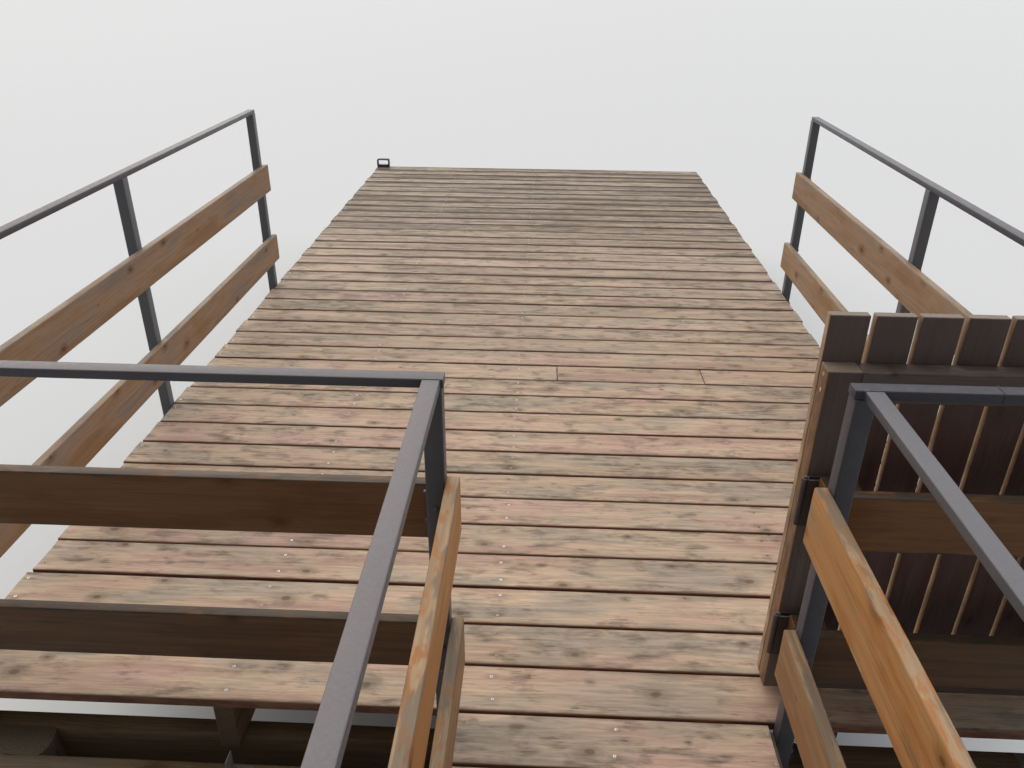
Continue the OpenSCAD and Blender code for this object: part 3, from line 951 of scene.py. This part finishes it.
# Railing posts. Square steel tube painted dark grey, open below, set against the outside
# of the frame and bolted through it, with smaller bolts through them into the rail boards.

tube = 0.040
tube_wall = 0.003
tube_hollow = 0.25
post_foot = joist_z[0]
board_high = 0.140
last_bay = 1.435
joist_bolts_z = (0.565, 0.635)
joist_bolt = ("bolt", 0.017, 0.0065, 0.024)
joist_nut = ("nut", 0.017, 0.008, 0.036)
board_bolt = ("bolt", 0.010, 0.005, 0.016)
side_bolts_up = (-0.036, 0.036)
back_bolts_up = (-0.063, 0.009)
# Lit and shaded copies of one dark grey paint: the left railing lighter than the right, the right
# back rail darker still with painted shade, and the side posts lighter with painted light
left_paint = steel_finish("railing_paint_left", tint("4b4b51"), tint("787375"))
right_paint = steel_finish("railing_paint_right", tint("45454c"), tint("6b6a6f"))
lit_side_post_paint = steel_finish("railing_paint_lit_side_posts", tint("6f7379"), tint("7b7779"))
shaded_back_paint = steel_finish("railing_paint_shaded_back", tint("3c3c43"), tint("43424b"))


def square_tube(name, foot, height):
    """A post with rounded corners, hollow at its open foot."""
    foot, aside = Vector(foot), Vector((tube / 2, tube / 2, 0))
    post = box(name, foot - aside, foot + aside + out_by(Z, height))
    round_edges(post, lambda e: along_axis(e, Z), 0.004, 4)
    pick(post, "faces", lambda f: f.normal.z < -0.9)
    bpy.ops.mesh.inset(thickness=tube_wall, depth=0)
    bpy.ops.mesh.extrude_region_move(TRANSFORM_OT_translate={"value": (0, 0, tube_hollow)})
    leave()
    return post


def post_row(name, node, boards, outward, middle_y, nut_x, paint, corner=False):
    """Three posts in a row along the jetty, with the bolts that hold them to the joist and
    those that hold the rail boards to them. The last may be a corner post, which carries the
    back boards too."""
    low, high = corners(node)
    x = (low.x + high.x) / 2
    outside = x + outward * tube / 2
    boards_low, boards_high = corners(boards)
    board_middles = (boards_low.z + board_high / 2, boards_high.z - board_high / 2)
    parts = []
    for y in (low.y + tube / 2, middle_y, high.y - tube / 2):
        parts.append(square_tube("post", (x, y, post_foot), high.z - post_foot))
        for z in joist_bolts_z:
            parts.append(hex_bolt(*joist_bolt, X, outward, at=(outside, y, z)))
            parts.append(hex_bolt(*joist_nut, X, -outward, at=(nut_x, y, z), stub=0.006))
        for z in board_middles:
            for up in side_bolts_up:
                parts.append(hex_bolt(*board_bolt, X, outward, at=(outside, y, z + up)))
    if corner:
        for z in board_middles:
            for up in back_bolts_up:
                parts.append(hex_bolt(*board_bolt, Y, -1, at=(x, high.y - tube, z + up)))
    piece = join(name, parts)
    mark_edges(piece)
    fit(piece, paint, "jetty", "railing_steel", node)


for side, sign, paint in (("left", -1, left_paint), ("right", 1, right_paint)):
    node = f"{side}_side_posts"
    end_post_y = corners(node)[1].y - tube / 2
    post_row(f"{side}_posts", node, f"{side}_side_boards", sign, end_post_y - last_bay,
             sign * (edge_joist_x[1] - joist_half), lit_side_post_paint)
    node = f"{side}_walkway_posts"
    low, high = corners(node)
    joist_x = walkway_joist_x[0 if side == "left" else -1]
    post_row(f"{side}_walk_posts", node, f"{side}_walkway_boards", sign, (low.y + high.y) / 2,
             joist_x - sign * joist_half, paint, corner=True)

# Top rails. Flat steel tube welded on the posts. The walkway's rails butt against the back
# rails, and the side rails lie on the back rails' ends. Plates close the tubes.

bead_radius = 0.0018
bead_corner = 0.003
bead_step = 0.004
butt_weld_x = 0.946


def weld_bead(name, outline):
    """A rippled bead along a closed outline of points."""
    shape = bpy.data.meshes.new(name)
    bead = bpy.data.objects.new(name, shape)
    bpy.context.collection.objects.link(bead)
    count = len(outline)
    shape.from_pydata([tuple(p) for p in outline], [(i, (i + 1) % count) for i in range(count)], [])
    activate(bead)
    bpy.ops.object.convert(target="CURVE")
    bead = bpy.context.object
    bead.data.bevel_depth = bead_radius
    bead.data.bevel_resolution = 1
    bpy.ops.object.convert(target="MESH")
    bead = bpy.context.object
    for v in bead.data.vertices:
        v.co += Vector((1, 1, 1)) * bead_radius * 0.5 * noise.noise(v.co * 420)
    return bead


def rounded_outline(middle, u_axis, v_axis, half_u, half_v):
    """Points round a rounded rectangle that lies along two axes."""
    points = []
    for quarter, (u, v) in enumerate(((1, 1), (-1, 1), (-1, -1), (1, -1))):
        for i in range(4):
            angle = math.pi / 2 * (quarter + i / 3)
            points.append((u * (half_u - bead_corner) + bead_corner * math.cos(angle),
                           v * (half_v - bead_corner) + bead_corner * math.sin(angle)))
    outline = []
    for start, end in zip(points, points[1:] + points[:1]):
        count = max(1, round(math.dist(start, end) / bead_step))
        for i in range(count):
            u, v = (a + (b - a) * i / count for a, b in zip(start, end))
            outline.append(Vector(middle) + out_by(u_axis, u) + out_by(v_axis, v))
    return outline


def top_rail(name, node, along, seats, paint):
    """A rail in the CAD node's place, with a bead round each seat: a middle and half sizes."""
    low, high = corners(node)
    rail = box("rail", low, high)
    round_edges(rail, lambda e: along_axis(e, along), 0.003, 4)
    round_edges(rail, lambda e: lies_at(e, along, low[along]) or lies_at(e, along, high[along]),
                0.0012, 2)
    piece = join(name, [rail] + [weld_bead("bead", rounded_outline(*seat)) for seat in seats])
    mark_edges(piece)
    fit(piece, paint, "jetty", "railing_steel", node)


for side, paint, back_paint in (
        ("left", left_paint, left_paint), ("right", right_paint, shaded_back_paint)):
    side_low, side_high = corners(f"{side}_side_top_rail")
    back_low, back_high = corners(f"{side}_back_top_rail")
    walk_low, walk_high = corners(f"{side}_walkway_top_rail")
    half_w, half_t = (side_high.x - side_low.x) / 2, (side_high.z - side_low.z) / 2
    side_x, walk_x = (side_low.x + side_high.x) / 2, (walk_low.x + walk_high.x) / 2
    back_y = (back_low.y + back_high.y) / 2
    post_low, post_high = corners(f"{side}_side_posts")
    end_post_y = post_high.y - tube / 2
    seats = [((side_x, y, side_low.z), X, Y, half_w, tube / 2)
             for y in (post_low.y + tube / 2, end_post_y - last_bay, end_post_y)]
    seats.append(((side_x, back_y, side_low.z), X, Y, half_w, half_w))
    top_rail(f"{side}_hand_rail", f"{side}_side_top_rail", Y, seats, paint)
    corner_low, corner_high = corners(f"{side}_walkway_posts")
    corner_x = (corner_low.x + corner_high.x) / 2
    seats = [((corner_x, back_y, back_low.z), X, Y, tube / 2, half_w)]
    if side == "right":
        # Two lengths of tube meet in a butt weld here
        seats.append(((butt_weld_x, back_y, back_low.z + half_t), Y, Z, half_w, half_t))
    top_rail(f"{side}_back_rail", f"{side}_back_top_rail", X, seats, back_paint)
    top_rail(f"{side}_walk_rail", f"{side}_walkway_top_rail", Y,
             [((walk_x, back_low.y, walk_low.z + half_t), X, Z, half_w, half_t)], paint)

# Rail boards. Planed pine, stained honey brown, two to a railing on the deck side of the
# posts and bolted through them. The stain is worn off along their upper edges, except on the
# back boards, whose upper edges carry painted shade; the lower back and walkway boards are
# darkened with painted shade.

rail_look = dict(
    late=tint("7f5430"), smudge=tint("4f3d2c"), flecked=0.3, streaks=0.15, ring_gap=0.0075,
    rings=0.2, knots=0.5, knot_grid=(3.6, 11), halo_tint=tint("6f4427"), checks=0.15,
    half_width=board_high / 2, edge_band_depth=0.006, end_grain=tint("8a6a4a"),
    roughness=(0.4, 0.65), relief=0.0005)
# Heights over which the lower rail boards are darkened with painted shade
low_board_shade = (1.25, 1.05)
left_board_finish = timber_finish(
    "left_rail_wood", early=tint("9d826a"), stained=tint("937354"), weathered=tint("8a7f77"),
    grey=0.45, smudged=0.15, edge_wear_and_shade=tint("9a8975"), flaked_and_shaded=tint("a0795a"), end_axis=Y,
    **rail_look)
right_board_finish = timber_finish(
    "right_rail_wood", early=tint("aa8f77"), stained=tint("9f8064"), weathered=tint("94897e"),
    grey=0.5, smudged=0.2, edge_wear_and_shade=tint("a3917a"), flaked_and_shaded=tint("a9835f"), end_axis=Y,
    **rail_look)
# The back boards' dark edge and flake colours are painted shade along their upper edges
back_board_finish = timber_finish(
    "back_rail_wood", early=tint("936d4c"), stained=tint("845c3c"), weathered=tint("7d7062"),
    grey=0.1, smudged=0.3, edge_wear_and_shade=tint("5a5048"), flaked_and_shaded=tint("5e4a3b"), end_axis=X,
    shade_and_weather_band=low_board_shade, shade_and_weather_tone=0.26, **rail_look)
# The lower walkway board is darkened with painted shade
walk_board_finish = timber_finish(
    "walk_rail_wood", early=tint("bb8b59"), stained=tint("b0773f"), weathered=tint("97897a"),
    grey=0.35, smudged=0.55, edge_wear_and_shade=tint("bea181"), flaked_and_shaded=tint("bd845a"), end_axis=Y,
    shade_and_weather_band=low_board_shade, **rail_look)


def rail_boards(name, node, along, finish):
    """The lower and the upper board of one railing."""
    low, high = corners(node)
    boards = []
    for z in (low.z, high.z - board_high):
        board = timber("board", (low.x, low.y, z), (high.x, high.y, z + board_high), along, Z,
                       rounding=0.003, step=0.18, widths=(-0.045, 0, 0.045))
        warp(board, along, Z, cup=chance.uniform(-0.0008, 0.0008), sway=0.001)
        lay_grain(board, along, Z)
        boards.append(board)
    fit(join(name, boards), finish, "jetty", "rail_timber", node)


for side, side_finish in (("left", left_board_finish), ("right", right_board_finish)):
    rail_boards(f"{side}_side_planks", f"{side}_side_boards", Y, side_finish)
    rail_boards(f"{side}_back_planks", f"{side}_back_boards", X, back_board_finish)
    rail_boards(f"{side}_walk_planks", f"{side}_walkway_boards", Y, walk_board_finish)

# Hinge blocks and the fixed halves of the lift-off hinges. Softwood blocks screwed to the
# back boards carry plain steel plates, each with a barrel and a pin.

pads_low, pads_high = corners("hinge_blocks")
pads = []
for z in (pads_low.z, pads_high.z - board_high):
    pad = timber("block", (pads_low.x, pads_low.y, z), (pads_high.x, pads_high.y, z + board_high),
                 Z, X, rounding=0.003, step=0.05, ends=(0.01,))
    lay_grain(pad, Z, X)
    pads.append(pad)
block_finish = timber_finish(
    "block_wood", early=tint("6e5138"), stained=tint("60452f"), weathered=tint("6b6055"),
    grey=0.2, smudged=0.4, end_axis=Z, **(rail_look | {"end_grain": tint("594433")}))
fit(join("hinge_pads", pads), block_finish, "jetty", "rail_timber", "hinge_blocks")

hinge_finish = steel_finish("hinge_steel", tint("4a4647"), tint("625c57"), rust=0.9)
hinge_h = 0.120
hinge_t = 0.004
plates_low, plates_high = corners("fixed_hinges")
hinge_feet = (plates_low.z, plates_high.z - hinge_h)
plate_holes = ((0.690, 0.015), (0.710, 0.045), (0.690, 0.105), (0.710, 0.075))
pad_screw_in = 0.018
pad_screw_up = 0.045


def eased_copy(name, node, body):
    """A hinge half with its sharp edges rounded, in the place of the CAD node."""
    piece = copy_to(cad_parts[node], (0, 0, 0), name)
    piece.data.materials.clear()
    activate(piece)
    bpy.ops.object.mode_set(mode="EDIT")
    bpy.ops.mesh.select_all(action="SELECT")
    bpy.ops.mesh.remove_doubles(threshold=0.00001)
    bpy.ops.mesh.dissolve_limited(angle_limit=math.radians(1))
    leave()
    ease_sharp(piece, 0.0007, 2)
    mark_edges(piece)
    fit(piece, hinge_finish, body, "hinge_steel", node)


def turned_screws(name, axis, face, spots, body):
    """Screw heads on upright faces, facing along an axis."""
    turn = out_by(Z, 1).rotation_difference(out_by(axis, face)).to_matrix().to_4x4()
    heads = []
    for spot in spots:
        head = copy_to(screw, (0, 0, 0), "head")
        head.data.transform(Matrix.Translation(spot) @ turn)
        heads.append(head)
    fit(join(name, heads), screw_finish, body, "hinge_steel", degrees=40)


eased_copy("fixed_hinge_halves", "fixed_hinges", "jetty")
turned_screws("block_screws", Y, 1, [
    (pads_high.x - pad_screw_in, pads_high.y, foot + hinge_h / 2 + up)
    for foot in hinge_feet for up in (-pad_screw_up, pad_screw_up)], "jetty")
turned_screws("plate_screws", Y, 1, [
    (x, pads_high.y + hinge_t, foot + up) for foot in hinge_feet for x, up in plate_holes], "jetty")

# Gate leaf. Two stiles and two rails of dark-stained pine, with eight slats screwed to
# the far side, standing folded back beside the railing.

stile_w = 0.070
slat_w = 0.082
slat_pitch = 0.092
slat_count = 8
gate_look = dict(
    weathered=tint("847c77"), smudge=tint("453a34"), grey=0.25, smudged=0.3, flecked=0.2,
    streaks=0.2, rings=0.15, knots=0.5, checks=0.2, edge_band_depth=0.003,
    end_grain=tint("98887a"), roughness=(0.45, 0.7), relief=0.0006)
leaf_frame_look = dict(
    early=tint("7c716c"), late=tint("625751"), stained=tint("70615a"), half_width=stile_w / 2,
    **gate_look)
stile_finish = timber_finish(
    "stile_wood", end_axis=Z, edge_axis=X, edge_stain_and_light=tint("84664f"), edge_wear_and_shade=tint("7d634c"),
    **leaf_frame_look)
# The gate rails' dark edge colour is painted shade along their top and bottom
gate_rail_finish = timber_finish(
    "gate_rail_wood", end_axis=X, edge_wear_and_shade=tint("5b4d45"), **leaf_frame_look)
# The slats' pale edge colour is painted light on their lit sides
slat_finish = timber_finish(
    "slat_wood", early=tint("77605a"), late=tint("5e4640"), stained=tint("6b504a"), end_axis=Z,
    edge_axis=X, edge_stain_and_light=tint("b1977d"), edge_wear_and_shade=tint("7d634c"), half_width=slat_w / 2,
    shade_and_weather_band=(1.38, 1.62), shade_and_weather_tone=1.0, **gate_look)

leaf_low, leaf_high = corners("gate_stiles")
inner_left, inner_right = leaf_low.x + stile_w, leaf_high.x - stile_w
stile_spans = [((leaf_low.x, leaf_low.z), (inner_left, leaf_high.z)),
               ((inner_right, leaf_low.z), (leaf_high.x, leaf_high.z))]
rail_spans = [((inner_left, leaf_low.z), (inner_right, leaf_low.z + stile_w)),
              ((inner_left, leaf_high.z - stile_w), (inner_right, leaf_high.z))]
for name, node, finish, along, across, spans in (
        ("leaf_stiles", "gate_stiles", stile_finish, Z, X, stile_spans),
        ("leaf_rails", "gate_rails", gate_rail_finish, X, Z, rail_spans)):
    members = []
    for (x0, z0), (x1, z1) in spans:
        member = timber("member", (x0, leaf_low.y, z0), (x1, leaf_high.y, z1), along, across,
                        rounding=0.003)
        lay_grain(member, along, across)
        members.append(member)
    fit(join(name, members), finish, "gate", "gate_timber", node)

slat_low, slat_high = corners("gate_slats")
slat_lefts = [slat_low.x + i * slat_pitch for i in range(slat_count)]
slats = []
for x in slat_lefts:
    slat = timber("slat", (x, slat_low.y, slat_low.z), (x + slat_w, slat_high.y, slat_high.z),
                  Z, X, rounding=0.0025, step=0.12, widths=(-0.02, 0.02))
    warp(slat, Z, X, cup=chance.uniform(-0.0006, 0.0006), sway=0.0008)
    lay_grain(slat, Z, X)
    slats.append(slat)
fit(join("leaf_slats", slats), slat_finish, "gate", "gate_timber", "gate_slats")

rail_middles = (leaf_low.z + stile_w / 2, leaf_high.z - stile_w / 2)
leaf_y = (leaf_low.y + leaf_high.y) / 2
slat_screws = ((0.020, 0.012), (0.062, -0.012))
stile_screw_up = 0.018
turned_screws("slat_screws", Y, 1, [
    (x + across, slat_high.y, z + up)
    for x in slat_lefts for z in rail_middles for across, up in slat_screws], "gate")
for name, x, face in (("near_stile_screws", leaf_low.x, -1), ("far_stile_screws", leaf_high.x, 1)):
    turned_screws(name, X, face, [
        (x, leaf_y, z + up) for z in rail_middles for up in (-stile_screw_up, stile_screw_up)],
        "gate")
turned_screws("leaf_plate_screws", Y, -1, [
    (x, leaf_low.y - hinge_t, foot + up) for foot in hinge_feet for x, up in plate_holes], "gate")
eased_copy("leaf_hinge_halves", "gate_hinges", "gate")
bpy.data.objects.remove(screw)

# Floor, light and camera. A pale floor under the pile feet, two wide soft lamps beyond the
# far end, left and right, a plain sky, and the camera at eye height on the walkway.

floor_half = 150
floor_tint = tint("7d8082")
backdrop = tint("e2e5e8")
sky_light, sky_tint = 0.17, (0.93, 0.96, 1.0, 1)
sky_seen = tint("dadcde")
lamp_spread = 80
eye = (0.085, -2.895, 2.33)
eye_turn, eye_down, eye_roll = 2.240, 27.331, 0.512
film_width, lens = 36, 28.46


def seen_rays(tree):
    """1 for a ray from the camera, or one that comes by way of gloss or glass."""
    rays = tree.nodes.new("ShaderNodeLightPath")
    seen = rays.outputs["Is Camera Ray"]
    for kind in ("Is Glossy Ray", "Is Transmission Ray"):
        either = tree.nodes.new("ShaderNodeMath")
        either.operation = "MAXIMUM"
        tree.links.new(seen, either.inputs[0])
        tree.links.new(rays.outputs[kind], either.inputs[1])
        seen = either.outputs[0]
    return seen


bpy.ops.object.select_all(action="DESELECT")
bpy.ops.mesh.primitive_plane_add(size=floor_half * 2, location=(0, 0, cad_box[0][Z]))
floor = keep_place("floor")
f = Finish("floor_paint")
f.surface(base_color=f.mix(seen_rays(f.tree), floor_tint, backdrop), roughness=0.9)
floor.data.materials.append(f.material)

world = bpy.data.worlds.new("sky")
bpy.context.scene.world = world
world.use_nodes = True
nodes, links = world.node_tree.nodes, world.node_tree.links
sky = nodes["Background"]
sky.inputs["Color"].default_value = sky_tint
sky.inputs["Strength"].default_value = sky_light
behind = nodes.new("ShaderNodeBackground")
behind.inputs["Color"].default_value = sky_seen
either = nodes.new("ShaderNodeMixShader")
links.new(seen_rays(world.node_tree), either.inputs[0])
links.new(sky.outputs[0], either.inputs[1])
links.new(behind.outputs[0], either.inputs[2])
links.new(either.outputs[0], nodes["World Output"].inputs[0])

for tilt, turn, energy, colour in (
        (-48, 38, 2.5, (1.0, 0.94, 0.86)), (-56, -55, 1.3, (0.94, 0.96, 1.0))):
    bpy.ops.object.light_add(type="SUN", rotation=(math.radians(tilt), 0, math.radians(turn)))
    lamp = bpy.context.object.data
    lamp.energy = energy
    lamp.angle = math.radians(lamp_spread)
    lamp.color = colour

bpy.ops.object.camera_add(location=eye)
camera = bpy.context.object
camera.rotation_euler = (
    Matrix.Rotation(math.radians(eye_turn), 3, "Z")
    @ Matrix.Rotation(math.radians(90 - eye_down), 3, "X")
    @ Matrix.Rotation(math.radians(eye_roll), 3, "Z")).to_euler()
camera.data.sensor_width = film_width
camera.data.lens = lens
camera.data.clip_start = 0.02
camera.data.clip_end = 500
bpy.context.scene.camera = camera
bpy.context.scene.view_settings.view_transform = "Standard"
